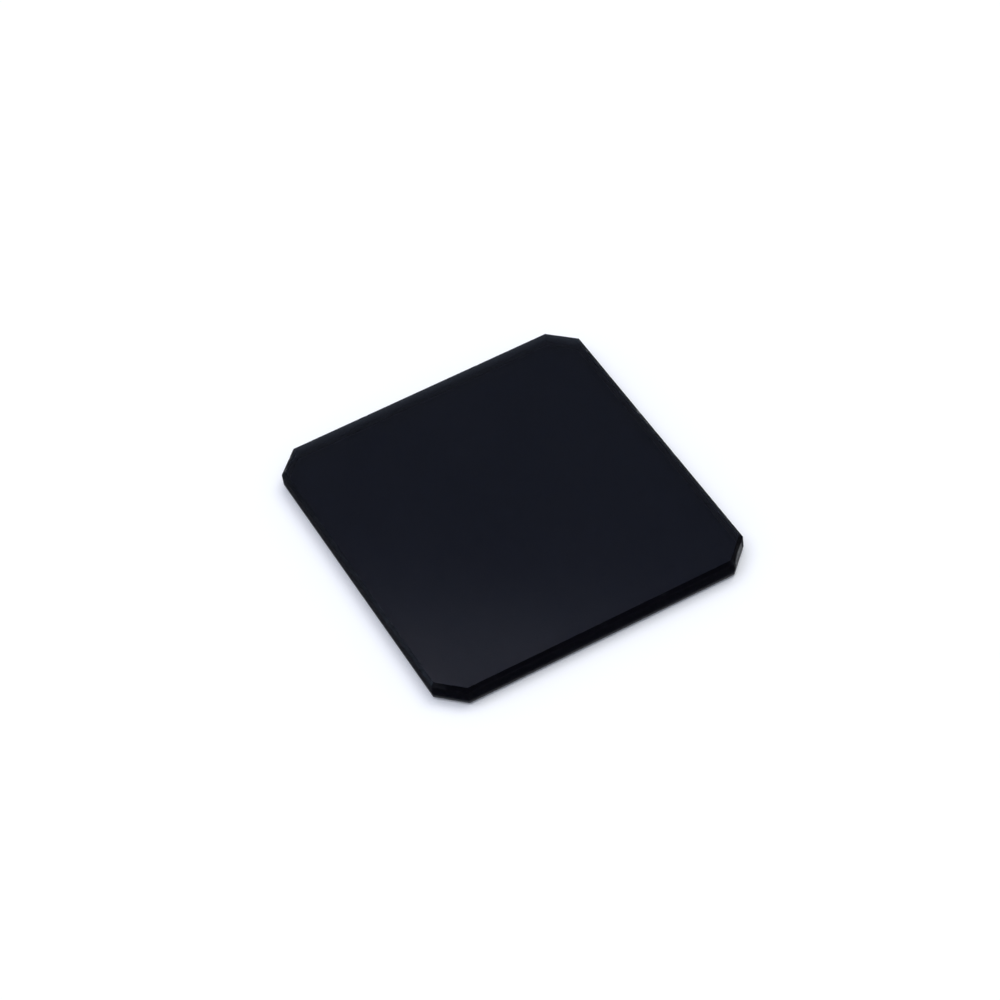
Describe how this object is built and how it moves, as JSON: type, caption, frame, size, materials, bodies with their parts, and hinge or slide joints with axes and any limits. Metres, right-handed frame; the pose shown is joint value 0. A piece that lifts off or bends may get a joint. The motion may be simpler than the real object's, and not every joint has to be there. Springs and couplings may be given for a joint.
{
  "type": "neutral density filter",
  "caption": "Flat rectangular plate of dark neutral glass with cut corners and finely bevelled edges, fitted in front of a camera lens to dim the light evenly.",
  "frame": {"origin": "middle of the underside, the face that the plate lies on", "axes": "+Z out of the upper face, +Y along the longer side, +X across the plate"},
  "size_m": [0.024, 0.0264, 0.0015],
  "materials": {
    "filter_glass": "dark neutral optical glass, both faces polished, walls and bevels fine ground"
  },
  "bodies": {
    "root": {"filter_glass": "filter_glass"}
  },
  "joints": []
}
